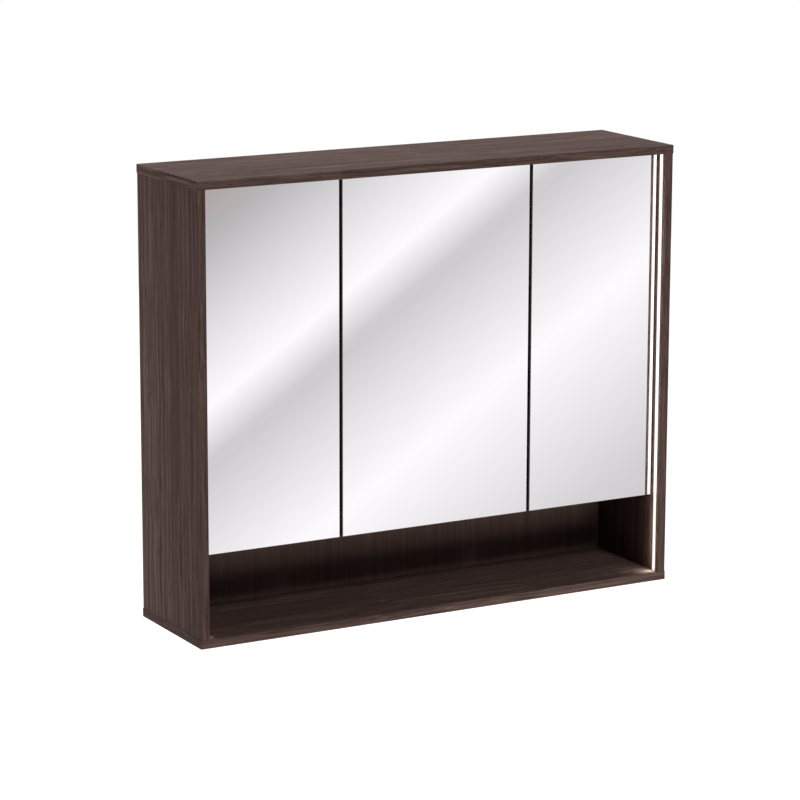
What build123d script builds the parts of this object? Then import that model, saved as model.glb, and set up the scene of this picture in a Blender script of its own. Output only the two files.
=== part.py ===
# Wall-hung bathroom cabinet: three mirror doors over an open niche, with a light strip in each side panel.
# Millimetres. X runs to the right, Y towards the wall and Z up. The origin lies on the wall plane,
# midway between the two wall screws that carry the cabinet.
import os

from build123d import *

os.makedirs("parts", exist_ok=True)

# Carcass sizes
cabinet_width = 800.0
cabinet_height = 680.0
cabinet_depth = 200.0
board = 13.0
board_overhang = 1.0
edge_round = 0.6
niche_height = 133.0
back_thickness = 3.0
rear_cavity = 25.0
groove_depth = 5.0
groove_clearance = 0.3

# Dowels that hold the boards together
dowel_radius = 3.0
dowel_clearance = 0.05
dowel_in_face = 8.0
dowel_in_end = 20.0
dowel_front = 50.0
dowel_rear = 50.0
dowel_off_centre = 1.0

# Wall fixing
hanger_below_top = 80.0
hanger_sheet = 2.0
hanger_leg = 40.0
hanger_tall = 60.0
hanger_flange = 22.0
hanger_hole_from_side = 22.0
hanger_slot_length = 14.0
hanger_slot_width = 5.5
hanger_screw_spacing = 40.0
access_hole_radius = 7.0
cap_clearance = 0.1
cap_rim = 2.5
cap_rim_thickness = 1.5

# Doors
door_recess = 20.0
mirror_thickness = 4.0
mirror_bevel = 0.5
door_board = 13.0
middle_door_width = 316.0
door_gap = 5.0
side_gap = 2.8
top_gap = 2.5
finger_drop = 12.5
finger_gap = 13.0
bumper_gap = 1.5
bumper_clearance = 0.2
bumper_radius = 2.0
bumper_from_door_end = 60.0

# Hinges
pivot_from_edge = 18.0
pivot_from_mirror = 9.0
hinge_from_door_end = 90.0
cup_radius = 13.0
cup_depth = 11.7
cup_wall = 0.7
flange_thickness = 1.0
flange_rim = 2.0
flange_half_length = 22.0
flange_half_width = 6.0
cup_screw_offset = 18.0
pin_radius = 1.25
pin_clearance = 0.05
pin_seat = 0.3
knuckle_radius = 2.6
arm_width = 10.0
arm_thickness = 2.6
arm_bend = 4.0
arm_door_clearance = 3.4
arm_bow = 22.0
arm_rear = 64.0
rail_front = 40.0
rail_height = 7.2
rail_half_width = 4.0
plate_thickness = 2.0
plate_front = 44.0
plate_rear = 62.0
plate_half_height = 23.0
plate_screw_offset = 16.0
plate_screw_behind = 53.0
arm_screw_radius = 2.0
arm_screw_head = 3.4
arm_screw_head_height = 1.8
arm_screw_tip = 3.0
arm_screw_behind = 57.0

# Small pan-head screws
screw_radius = 1.6
screw_head = 3.0
screw_head_height = 1.6
screw_grip = 9.0

# Glass shelves on pins
shelf_thickness = 5.0
shelf_end_gap = 1.5
shelf_setback = 20.0
shelf_back_gap = 3.0
shelf_edge_bevel = 0.5
shelf_pin_radius = 2.5
shelf_pin_depth = 5.5
shelf_pin_reach = 8.0
shelf_pin_inset = 25.0
shelf_pin_play = 0.05

# Light strips let into the side panels
channel_from_front = 7.0
channel_width = 9.0
channel_depth = 8.0
channel_wall = 1.0
strip_thickness = 1.2
strip_side_gap = 0.5
strip_end_gap = 2.0
cover_thickness = 1.6

# Driver in the cavity behind the back panel
driver_x = 150.0
driver_length = 150.0
driver_height = 36.0
driver_front = 22.0
driver_rear = 2.0
driver_round = 1.5
tab_length = 14.0
tab_rear = 10.0
tab_thickness = 3.0
gland_offset = 50.0
gland_radius = 6.0
gland_nut_radius = 8.0
gland_nut_height = 4.0
gland_length = 12.0
gland_bore = 3.2
gland_bore_depth = 10.0

# Leads
lead_radius = 1.2
rebate = 3.4
lead_off_side = 1.6
lead_below_top = 1.7
light_lead_y = -6.0
light_lead_bend = 8.0
switch_lead_y = -14.0
switch_lead_bend = 9.0
switch_lead_hole = 3.0
notch_margin = 1.5
clip_length = 6.0
clip_wall = 2.2
clip_play = 0.05
top_clip_pitch = 90.0
rear_clip_pitch = 110.0

# Rocker switch under the niche top board
switch_x = 200.0
switch_y = -60.0
switch_half_length = 20.0
switch_half_width = 12.0
switch_height = 16.0
switch_round = 1.5
ear_length = 10.0
ear_thickness = 3.0
pocket_half_length = 9.2
pocket_half_width = 7.6
pocket_depth = 10.0
rocker_side_play = 0.4
rocker_half_width = 6.5
rocker_pivot_height = 4.0
rocker_end_drop = 6.0
rocker_middle_drop = 5.1
rocker_shoulder = 1.5
rocker_crown = 4.5
rocker_crown_half_width = 3.0
shaft_radius = 1.2
shaft_clearance = 0.06
shaft_seat = 3.0

# Heights
top_z = hanger_below_top
top_under_z = top_z - board
bottom_z = top_z - cabinet_height
bottom_top_z = bottom_z + board
niche_under_z = bottom_top_z + niche_height
niche_top_z = niche_under_z + board
door_bottom_z = niche_under_z - finger_drop
door_top_z = top_under_z - top_gap
hinge_heights = (door_bottom_z + hinge_from_door_end, door_top_z - hinge_from_door_end)
bumper_heights = (niche_top_z + bumper_from_door_end, door_top_z - bumper_from_door_end)
shelf_spacing = (top_under_z - niche_top_z - 2 * shelf_thickness) / 3
shelf_levels = (niche_top_z + shelf_spacing, top_under_z - shelf_spacing - shelf_thickness)

# Depths
front_y = -cabinet_depth
mirror_y = front_y + door_recess
door_front_y = mirror_y + mirror_thickness
door_back_y = door_front_y + door_board
partition_front_y = door_back_y + bumper_gap
niche_front_y = door_back_y + finger_gap
back_rear_y = -rear_cavity
back_front_y = back_rear_y - back_thickness
channel_front_y = front_y + channel_from_front
channel_rear_y = channel_front_y + channel_width
shelf_front_y = door_back_y + shelf_setback
shelf_rear_y = back_front_y - shelf_back_gap

# Widths
side_out = cabinet_width / 2 - board_overhang
side_in = side_out - board
middle_door_edge = middle_door_width / 2
left_partition_x = (-middle_door_edge - side_gap - board, -middle_door_edge - side_gap)
right_partition_middle = middle_door_edge + door_gap / 2
right_partition_x = (right_partition_middle - board / 2, right_partition_middle + board / 2)

# Each door: its two edges, the face that carries its hinges, and which way the hinges reach
doors = (
    ("left", -side_in + side_gap, -middle_door_edge - door_gap, -side_in, 1),
    ("middle", -middle_door_edge, middle_door_edge, left_partition_x[1], 1),
    ("right", middle_door_edge + door_gap, side_in - side_gap, side_in, -1),
)
hinges = [(face_x, hand, z) for name, x0, x1, face_x, hand in doors for z in hinge_heights]

# The hinge pivot, measured from the carrying face and forward from the door's back
pivot_u = side_gap + pivot_from_edge
pivot_v = mirror_thickness + door_board - pivot_from_mirror
pivot_y = door_back_y - pivot_v

# Dowel places
corner_dowel_x = (side_in + side_out) / 2 + dowel_off_centre
corner_dowel_y = (front_y + dowel_front, -dowel_rear)
inner_dowel_y = (niche_front_y + dowel_front / 2, -dowel_rear)
partition_middles = (sum(left_partition_x) / 2, sum(right_partition_x) / 2)
niche_middle_z = (niche_under_z + niche_top_z) / 2

# Shelf bays between the sides and the partitions
bays = (
    ("left", -side_in, left_partition_x[0]),
    ("middle", left_partition_x[1], right_partition_x[0]),
    ("right", right_partition_x[1], side_in),
)
shelf_pin_y = (shelf_front_y + shelf_pin_inset, shelf_rear_y - shelf_pin_inset)
shelf_pin_drop = shelf_pin_radius + shelf_pin_play

# Driver, gland, switch and lead places
driver_left = driver_x - driver_length / 2
driver_right = driver_x + driver_length / 2
driver_bottom_z = top_under_z - driver_height
driver_screw_x = (driver_left - tab_length / 2, driver_right + tab_length / 2)
driver_screw_y = -(driver_front + tab_rear) / 2
gland_x = driver_x - gland_offset
gland_y = -(driver_front + driver_rear) / 2
light_lead_x = side_in + lead_off_side
light_lead_z = top_under_z - lead_below_top
switch_lead_z = niche_under_z - switch_height / 2
switch_bottom_z = niche_under_z - switch_height
ear_middle = switch_half_length + ear_length / 2
switch_screw_x = (switch_x - ear_middle, switch_x + ear_middle)
hanger_hole_x = side_in - hanger_hole_from_side
hanger_screw_y = -hanger_flange / 2 - hanger_sheet / 2


def block(x0, x1, y0, y1, z0, z1, mode=Mode.ADD):
    """A box between two opposite corners."""
    with Locations(((x0 + x1) / 2, (y0 + y1) / 2, (z0 + z1) / 2)):
        Box(abs(x1 - x0), abs(y1 - y0), abs(z1 - z0), mode=mode)


def x_peg(x0, x1, y, z, radius, mode=Mode.ADD):
    """A round peg or hole that runs along X."""
    with Locations(((x0 + x1) / 2, y, z)):
        Cylinder(radius, abs(x1 - x0), rotation=(0, 90, 0), mode=mode)


def y_peg(x, y0, y1, z, radius, mode=Mode.ADD):
    """A round peg or hole that runs along Y."""
    with Locations((x, (y0 + y1) / 2, z)):
        Cylinder(radius, abs(y1 - y0), rotation=(90, 0, 0), mode=mode)


def z_peg(x, y, z0, z1, radius, mode=Mode.ADD):
    """A round peg or hole that runs along Z."""
    with Locations((x, y, (z0 + z1) / 2)):
        Cylinder(radius, abs(z1 - z0), mode=mode)


# Top and bottom boards run over the ends of the sides and stand a little proud of them.
# Both are grooved for the back panel and bored for dowels.
back_groove_x = side_in + groove_depth
corner_hole = dowel_radius + dowel_clearance
with BuildPart() as top_board:
    block(-cabinet_width / 2, cabinet_width / 2, front_y, 0, top_under_z, top_z)
    fillet(top_board.edges(), edge_round)
    block(-back_groove_x, back_groove_x, back_front_y, back_rear_y,
          top_under_z, top_under_z + groove_depth, Mode.SUBTRACT)
    for y in corner_dowel_y:
        for x in (-corner_dowel_x, corner_dowel_x):
            z_peg(x, y, top_under_z, top_under_z + dowel_in_face, corner_hole, Mode.SUBTRACT)
    for y in inner_dowel_y:
        for x in partition_middles:
            z_peg(x, y, top_under_z, top_under_z + dowel_in_face, corner_hole, Mode.SUBTRACT)
    for x in driver_screw_x:
        z_peg(x, driver_screw_y, top_under_z, top_under_z + screw_grip, screw_radius, Mode.SUBTRACT)
top_board.part.label = "top_board"
export_step(top_board.part, "parts/top_board.step")

with BuildPart() as bottom_board:
    block(-cabinet_width / 2, cabinet_width / 2, front_y, 0, bottom_z, bottom_top_z)
    fillet(bottom_board.edges(), edge_round)
    block(-back_groove_x, back_groove_x, back_front_y, back_rear_y,
          bottom_top_z - groove_depth, bottom_top_z, Mode.SUBTRACT)
    for y in corner_dowel_y:
        for x in (-corner_dowel_x, corner_dowel_x):
            z_peg(x, y, bottom_top_z - dowel_in_face, bottom_top_z, corner_hole, Mode.SUBTRACT)
bottom_board.part.label = "bottom_board"
export_step(bottom_board.part, "parts/bottom_board.step")

# Side panels: grooved for the back panel and for the light channel, rebated along the top for the lead,
# bored for dowels, shelf pins, hanger screws and, where a door hangs on them, hinge plate screws.
for side, hand in (("left", -1), ("right", 1)):
    inner = hand * side_in
    outer = hand * side_out
    with BuildPart() as side_panel:
        block(inner, outer, front_y, 0, bottom_top_z, top_under_z)
        fillet(side_panel.edges().filter_by(Axis.Z), edge_round)
        block(inner, inner + hand * groove_depth, back_front_y, back_rear_y,
              bottom_top_z, top_under_z, Mode.SUBTRACT)
        block(inner, inner + hand * channel_depth, channel_front_y, channel_rear_y,
              bottom_top_z, top_under_z, Mode.SUBTRACT)
        block(inner, inner + hand * rebate, channel_rear_y, light_lead_y + rebate - lead_off_side,
              top_under_z - rebate, top_under_z, Mode.SUBTRACT)
        for y in corner_dowel_y:
            z_peg(hand * corner_dowel_x, y, bottom_top_z, bottom_top_z + dowel_in_end,
                  corner_hole, Mode.SUBTRACT)
            z_peg(hand * corner_dowel_x, y, top_under_z - dowel_in_end, top_under_z,
                  corner_hole, Mode.SUBTRACT)
        for y in inner_dowel_y:
            x_peg(inner, inner + hand * dowel_in_face, y, niche_middle_z, corner_hole, Mode.SUBTRACT)
        for z in shelf_levels:
            for y in shelf_pin_y:
                x_peg(inner, inner + hand * shelf_pin_depth, y, z - shelf_pin_drop,
                      shelf_pin_radius, Mode.SUBTRACT)
        for z in (-hanger_screw_spacing / 2, hanger_screw_spacing / 2):
            x_peg(inner, inner + hand * screw_grip, hanger_screw_y, z, screw_radius, Mode.SUBTRACT)
        for face_x, reach, z in hinges:
            if face_x == inner:
                for dz in (-plate_screw_offset, plate_screw_offset):
                    x_peg(inner, inner + hand * screw_grip, door_back_y + plate_screw_behind, z + dz,
                          screw_radius, Mode.SUBTRACT)
    side_panel.part.label = f"{side}_side_panel"
    export_step(side_panel.part, f"parts/{side}_side_panel.step")

# Niche top board: the floor of the closed part. Its front edge stands back behind the doors,
# so that fingers reach up behind their lower edges and the hinge ends of the doors can swing in.
with BuildPart() as niche_top_board:
    block(-side_in, side_in, niche_front_y, back_front_y, niche_under_z, niche_top_z)
    fillet(niche_top_board.edges().filter_by(Axis.X), edge_round)
    for y in inner_dowel_y:
        for hand in (-1, 1):
            x_peg(hand * (side_in - dowel_in_end), hand * side_in, y, niche_middle_z,
                  corner_hole, Mode.SUBTRACT)
        for x in partition_middles:
            z_peg(x, y, niche_top_z - dowel_in_face, niche_top_z, corner_hole, Mode.SUBTRACT)
    for x in switch_screw_x:
        z_peg(x, switch_y, niche_under_z, niche_under_z + screw_grip, screw_radius, Mode.SUBTRACT)
niche_top_board.part.label = "niche_top_board"
export_step(niche_top_board.part, "parts/niche_top_board.step")

# Partitions between the bays: the left one carries the middle door's hinges,
# the right one stands behind the gap of the middle and right doors.
for side, edges_x in (("left", left_partition_x), ("right", right_partition_x)):
    with BuildPart() as partition:
        block(edges_x[0], edges_x[1], partition_front_y, back_front_y, niche_top_z, top_under_z)
        fillet(partition.edges().filter_by(Axis.Z), edge_round)
        for y in inner_dowel_y:
            middle = sum(edges_x) / 2
            z_peg(middle, y, niche_top_z, niche_top_z + dowel_in_end, corner_hole, Mode.SUBTRACT)
            z_peg(middle, y, top_under_z - dowel_in_end, top_under_z, corner_hole, Mode.SUBTRACT)
        for z in shelf_levels:
            for y in shelf_pin_y:
                x_peg(edges_x[0], edges_x[0] + shelf_pin_depth, y, z - shelf_pin_drop,
                      shelf_pin_radius, Mode.SUBTRACT)
                x_peg(edges_x[1] - shelf_pin_depth, edges_x[1], y, z - shelf_pin_drop,
                      shelf_pin_radius, Mode.SUBTRACT)
        for face_x, reach, z in hinges:
            if face_x == edges_x[1]:
                for dz in (-plate_screw_offset, plate_screw_offset):
                    x_peg(face_x - screw_grip, face_x, door_back_y + plate_screw_behind, z + dz,
                          screw_radius, Mode.SUBTRACT)
    partition.part.label = f"{side}_partition"
    export_step(partition.part, f"parts/{side}_partition.step")

# Back panel: thin board slid into the grooves, notched for the light leads, bored for the switch lead
# and for the two holes through which the wall screws are driven.
back_edge_x = back_groove_x - groove_clearance
back_bottom_z = bottom_top_z - groove_depth + groove_clearance
back_top_z = top_under_z + groove_depth - groove_clearance
with BuildPart() as back_panel:
    block(-back_edge_x, back_edge_x, back_front_y, back_rear_y, back_bottom_z, back_top_z)
    for hand in (-1, 1):
        block(hand * (side_in - notch_margin), hand * back_edge_x, back_front_y, back_rear_y,
              top_under_z - rebate - notch_margin, back_top_z, Mode.SUBTRACT)
        y_peg(hand * hanger_hole_x, back_front_y, back_rear_y, 0, access_hole_radius, Mode.SUBTRACT)
    y_peg(switch_x, back_front_y, back_rear_y, switch_lead_z, switch_lead_hole, Mode.SUBTRACT)
back_panel.part.label = "back_panel"
export_step(back_panel.part, "parts/back_panel.step")

# Dowels in every joint of the carcass
with BuildPart() as carcass_dowels:
    for y in corner_dowel_y:
        for x in (-corner_dowel_x, corner_dowel_x):
            z_peg(x, y, bottom_top_z - dowel_in_face, bottom_top_z + dowel_in_end, dowel_radius)
            z_peg(x, y, top_under_z - dowel_in_end, top_under_z + dowel_in_face, dowel_radius)
    for y in inner_dowel_y:
        for hand in (-1, 1):
            x_peg(hand * (side_in - dowel_in_end), hand * (side_in + dowel_in_face), y, niche_middle_z,
                  dowel_radius)
        for x in partition_middles:
            z_peg(x, y, niche_top_z - dowel_in_face, niche_top_z + dowel_in_end, dowel_radius)
            z_peg(x, y, top_under_z - dowel_in_end, top_under_z + dowel_in_face, dowel_radius)
carcass_dowels.part.label = "carcass_dowels"
export_step(carcass_dowels.part, "parts/carcass_dowels.step")

# Hanger brackets: bent steel, one flange screwed to the side panel and one leg flat on the wall,
# with a level slot for the wall screw.
for side, hand in (("left", -1), ("right", 1)):
    inner = hand * side_in
    with BuildPart() as hanger_bracket:
        block(inner, inner - hand * hanger_sheet, -hanger_flange, 0, -hanger_tall / 2, hanger_tall / 2)
        block(inner, inner - hand * hanger_leg, -hanger_sheet, 0, -hanger_tall / 2, hanger_tall / 2)
        with BuildSketch(Plane(origin=(hand * hanger_hole_x, 0, 0), x_dir=(1, 0, 0), z_dir=(0, -1, 0))):
            SlotOverall(hanger_slot_length, hanger_slot_width)
        extrude(amount=hanger_sheet, mode=Mode.SUBTRACT)
        for z in (-hanger_screw_spacing / 2, hanger_screw_spacing / 2):
            x_peg(inner, inner - hand * hanger_sheet, hanger_screw_y, z, screw_radius, Mode.SUBTRACT)
    hanger_bracket.part.label = f"{side}_hanger_bracket"
    export_step(hanger_bracket.part, f"parts/{side}_hanger_bracket.step")

with BuildPart() as hanger_screws:
    for hand in (-1, 1):
        seat_x = hand * (side_in - hanger_sheet)
        for z in (-hanger_screw_spacing / 2, hanger_screw_spacing / 2):
            x_peg(seat_x, hand * (side_in + screw_grip), hanger_screw_y, z, screw_radius)
            x_peg(seat_x - hand * screw_head_height, seat_x, hanger_screw_y, z, screw_head)
hanger_screws.part.label = "hanger_screws"
export_step(hanger_screws.part, "parts/hanger_screws.step")

# Push-in caps close the two screw holes in the back panel.
with BuildPart() as screw_hole_caps:
    for hand in (-1, 1):
        y_peg(hand * hanger_hole_x, back_front_y, back_rear_y, 0, access_hole_radius - cap_clearance)
        y_peg(hand * hanger_hole_x, back_front_y - cap_rim_thickness, back_front_y, 0,
              access_hole_radius + cap_rim)
    fillet(screw_hole_caps.faces().sort_by(Axis.Y)[0:2].edges(), edge_round)
screw_hole_caps.part.label = "screw_hole_caps"
export_step(screw_hole_caps.part, "parts/screw_hole_caps.step")

# Glass shelves, two in each bay, with polished edges, lying on steel pins
for bay, x0, x1 in bays:
    for level, z in zip(("lower", "upper"), shelf_levels):
        with BuildPart() as shelf:
            block(x0 + shelf_end_gap, x1 - shelf_end_gap, shelf_front_y, shelf_rear_y,
                  z, z + shelf_thickness)
            chamfer(shelf.edges(), shelf_edge_bevel)
        shelf.part.label = f"{bay}_{level}_shelf"
        export_step(shelf.part, f"parts/{bay}_{level}_shelf.step")

with BuildPart() as shelf_pins:
    for bay, x0, x1 in bays:
        for z in shelf_levels:
            for y in shelf_pin_y:
                x_peg(x0 - shelf_pin_depth, x0 + shelf_pin_reach, y, z - shelf_pin_drop, shelf_pin_radius)
                x_peg(x1 - shelf_pin_reach, x1 + shelf_pin_depth, y, z - shelf_pin_drop, shelf_pin_radius)
shelf_pins.part.label = "shelf_pins"
export_step(shelf_pins.part, "parts/shelf_pins.step")

# Soft dots on the front edges of the partitions, on which the closed doors rest
bumper_x = (
    (left_partition_x[0] - middle_door_edge - door_gap) / 2,
    (right_partition_x[0] + middle_door_edge) / 2,
    (right_partition_x[1] + middle_door_edge + door_gap) / 2,
)
with BuildPart() as door_bumpers:
    for x in bumper_x:
        for z in bumper_heights:
            y_peg(x, door_back_y + bumper_clearance, partition_front_y, z, bumper_radius)
door_bumpers.part.label = "door_bumpers"
export_step(door_bumpers.part, "parts/door_bumpers.step")

# Doors: a board with a mirror glued over its whole front, and two hinge cups let into its back
for name, x0, x1, face_x, hand in doors:
    pivot_x = face_x + hand * pivot_u
    screw_tip_y = door_back_y - screw_grip
    flange_y = door_back_y + flange_thickness
    with BuildPart() as door:
        block(x0, x1, door_front_y, door_back_y, door_bottom_z, door_top_z)
        for z in hinge_heights:
            y_peg(pivot_x, door_back_y - cup_depth, door_back_y, z, cup_radius, Mode.SUBTRACT)
            for dz in (-cup_screw_offset, cup_screw_offset):
                y_peg(pivot_x, screw_tip_y, door_back_y, z + dz, screw_radius, Mode.SUBTRACT)
    door.part.label = f"{name}_door_board"
    export_step(door.part, f"parts/{name}_door_board.step")

    with BuildPart() as mirror_glass:
        block(x0, x1, mirror_y, door_front_y, door_bottom_z, door_top_z)
        chamfer(mirror_glass.faces().sort_by(Axis.Y)[0].edges(), mirror_bevel)
    mirror_glass.part.label = f"{name}_mirror"
    export_step(mirror_glass.part, f"parts/{name}_mirror.step")

    with BuildPart() as hinge_cups:
        for z in hinge_heights:
            y_peg(pivot_x, door_back_y - cup_depth, door_back_y, z, cup_radius)
            y_peg(pivot_x, door_back_y, flange_y, z, cup_radius + flange_rim)
            block(pivot_x - flange_half_width, pivot_x + flange_half_width, door_back_y, flange_y,
                  z - flange_half_length, z + flange_half_length)
            y_peg(pivot_x, door_back_y - cup_depth + cup_wall, flange_y, z, cup_radius - cup_wall,
                  Mode.SUBTRACT)
            for dz in (-cup_screw_offset, cup_screw_offset):
                y_peg(pivot_x, door_back_y, flange_y, z + dz, screw_radius, Mode.SUBTRACT)
            pin_half = cup_radius - cup_wall + pin_seat
            z_peg(pivot_x, pivot_y, z - pin_half, z + pin_half, pin_radius, Mode.SUBTRACT)
    hinge_cups.part.label = f"{name}_hinge_cups"
    export_step(hinge_cups.part, f"parts/{name}_hinge_cups.step")

    with BuildPart() as cup_screws:
        for z in hinge_heights:
            for dz in (-cup_screw_offset, cup_screw_offset):
                y_peg(pivot_x, screw_tip_y, flange_y, z + dz, screw_radius)
                y_peg(pivot_x, flange_y, flange_y + screw_head_height, z + dz, screw_head)
    cup_screws.part.label = f"{name}_cup_screws"
    export_step(cup_screws.part, f"parts/{name}_cup_screws.step")

    with BuildPart() as hinge_pins:
        for z in hinge_heights:
            z_peg(pivot_x, pivot_y, z - pin_half, z + pin_half, pin_radius)
    hinge_pins.part.label = f"{name}_hinge_pins"
    export_step(hinge_pins.part, f"parts/{name}_hinge_pins.step")

# Hinge mounting plates: a winged base with a raised rail, screwed to the carcass
with BuildPart() as hinge_plates:
    for face_x, hand, z in hinges:
        block(face_x, face_x + hand * plate_thickness, door_back_y + plate_front, door_back_y + plate_rear,
              z - plate_half_height, z + plate_half_height)
        block(face_x, face_x + hand * rail_height, door_back_y + rail_front, door_back_y + arm_rear,
              z - rail_half_width, z + rail_half_width)
        for dz in (-plate_screw_offset, plate_screw_offset):
            x_peg(face_x, face_x + hand * plate_thickness, door_back_y + plate_screw_behind, z + dz,
                  screw_radius, Mode.SUBTRACT)
        x_peg(face_x + hand * arm_screw_tip, face_x + hand * rail_height, door_back_y + arm_screw_behind, z,
              arm_screw_radius, Mode.SUBTRACT)
hinge_plates.part.label = "hinge_plates"
export_step(hinge_plates.part, "parts/hinge_plates.step")

with BuildPart() as hinge_plate_screws:
    for face_x, hand, z in hinges:
        seat_x = face_x + hand * plate_thickness
        for dz in (-plate_screw_offset, plate_screw_offset):
            x_peg(face_x - hand * screw_grip, seat_x, door_back_y + plate_screw_behind, z + dz, screw_radius)
            x_peg(seat_x, seat_x + hand * screw_head_height, door_back_y + plate_screw_behind, z + dz,
                  screw_head)
hinge_plate_screws.part.label = "hinge_plate_screws"
export_step(hinge_plate_screws.part, "parts/hinge_plate_screws.step")

# Hinge arms: cranked steel straps that bow round the open door's end and reach into the cup,
# where the knuckle turns on the pin.
arm_seat_u = rail_height + arm_thickness / 2
arm_reach_u = pivot_u + pivot_v + arm_door_clearance + arm_thickness / 2
arm_line = (
    (arm_seat_u, arm_rear),
    (arm_seat_u, rail_front),
    (arm_reach_u, arm_bow),
    (arm_reach_u, arm_reach_u - pivot_u - pivot_v),
    (pivot_u, -pivot_v),
)
arm_top_u = arm_seat_u + arm_thickness / 2
with BuildPart() as hinge_arms:
    for face_x, hand, z in hinges:
        hinge_plane = Plane(origin=(face_x, door_back_y, z), x_dir=(hand, 0, 0), z_dir=(0, 0, hand))
        with BuildSketch(hinge_plane.offset(-arm_width / 2)):
            with BuildLine():
                FilletPolyline(*arm_line, radius=arm_bend)
            trace(line_width=arm_thickness)
            with Locations((pivot_u, -pivot_v)):
                Circle(knuckle_radius)
                Circle(pin_radius + pin_clearance, mode=Mode.SUBTRACT)
        extrude(amount=arm_width)
        x_peg(face_x + hand * rail_height, face_x + hand * arm_top_u, door_back_y + arm_screw_behind, z,
              arm_screw_radius, Mode.SUBTRACT)
hinge_arms.part.label = "hinge_arms"
export_step(hinge_arms.part, "parts/hinge_arms.step")

with BuildPart() as hinge_arm_screws:
    for face_x, hand, z in hinges:
        seat_x = face_x + hand * arm_top_u
        x_peg(face_x + hand * arm_screw_tip, seat_x, door_back_y + arm_screw_behind, z, arm_screw_radius)
        x_peg(seat_x, seat_x + hand * arm_screw_head_height, door_back_y + arm_screw_behind, z,
              arm_screw_head)
hinge_arm_screws.part.label = "hinge_arm_screws"
export_step(hinge_arm_screws.part, "parts/hinge_arm_screws.step")

# Light channels: aluminium U-sections let flush into the side panels, each with a light strip on its floor
# and an opal cover between its lips.
for side, hand in (("left", -1), ("right", 1)):
    inner = hand * side_in
    floor_x = inner + hand * (channel_depth - channel_wall)
    cover_front_y = channel_front_y + channel_wall
    cover_rear_y = channel_rear_y - channel_wall
    with BuildPart() as light_channel:
        block(inner, inner + hand * channel_depth, channel_front_y, channel_rear_y,
              bottom_top_z, top_under_z)
        block(inner, floor_x, cover_front_y, cover_rear_y, bottom_top_z, top_under_z, Mode.SUBTRACT)
    light_channel.part.label = f"{side}_light_channel"
    export_step(light_channel.part, f"parts/{side}_light_channel.step")

    with BuildPart() as light_strip:
        block(floor_x - hand * strip_thickness, floor_x,
              cover_front_y + strip_side_gap, cover_rear_y - strip_side_gap,
              bottom_top_z + strip_end_gap, top_under_z - strip_end_gap)
    light_strip.part.label = f"{side}_light_strip"
    export_step(light_strip.part, f"parts/{side}_light_strip.step")

    with BuildPart() as light_cover:
        block(inner, inner + hand * cover_thickness, cover_front_y, cover_rear_y, bottom_top_z, top_under_z)
    light_cover.part.label = f"{side}_light_cover"
    export_step(light_cover.part, f"parts/{side}_light_cover.step")

    # The strip's lead lies in the rebate under the top board, passes the back panel and runs to the driver.
    driver_end = driver_left if hand < 0 else driver_right
    with BuildPart() as light_lead:
        with BuildLine() as route:
            FilletPolyline(
                (hand * light_lead_x, channel_rear_y, light_lead_z),
                (hand * light_lead_x, light_lead_y, light_lead_z),
                (driver_end, light_lead_y, light_lead_z),
                radius=light_lead_bend,
            )
        with BuildSketch(Plane(origin=route.line @ 0, z_dir=route.line % 0)):
            Circle(lead_radius)
        sweep()
    light_lead.part.label = f"{side}_light_lead"
    export_step(light_lead.part, f"parts/{side}_light_lead.step")

# Driver: a slim sealed case screwed by its two tabs to the top board, behind the back panel
with BuildPart() as light_driver:
    block(driver_left, driver_right, -driver_front, -driver_rear, driver_bottom_z, top_under_z)
    fillet(light_driver.edges().filter_by(Axis.Z), driver_round)
    block(driver_left - tab_length, driver_right + tab_length, -driver_front, -tab_rear,
          top_under_z - tab_thickness, top_under_z)
    for x in driver_screw_x:
        z_peg(x, driver_screw_y, top_under_z - tab_thickness, top_under_z, screw_radius, Mode.SUBTRACT)
light_driver.part.label = "light_driver"
export_step(light_driver.part, "parts/light_driver.step")

with BuildPart() as driver_screws:
    for x in driver_screw_x:
        z_peg(x, driver_screw_y, top_under_z - tab_thickness, top_under_z + screw_grip, screw_radius)
        z_peg(x, driver_screw_y, top_under_z - tab_thickness - screw_head_height,
              top_under_z - tab_thickness, screw_head)
driver_screws.part.label = "driver_screws"
export_step(driver_screws.part, "parts/driver_screws.step")

# Gland for the mains cord, pointing down from the driver
with BuildPart() as mains_gland:
    z_peg(gland_x, gland_y, driver_bottom_z - gland_length, driver_bottom_z, gland_radius)
    with BuildSketch(Plane.XY.offset(driver_bottom_z - gland_nut_height)):
        with Locations((gland_x, gland_y)):
            RegularPolygon(gland_nut_radius, 6)
    extrude(amount=gland_nut_height)
    z_peg(gland_x, gland_y, driver_bottom_z - gland_length,
          driver_bottom_z - gland_length + gland_bore_depth, gland_bore, Mode.SUBTRACT)
mains_gland.part.label = "mains_gland"
export_step(mains_gland.part, "parts/mains_gland.step")

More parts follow.
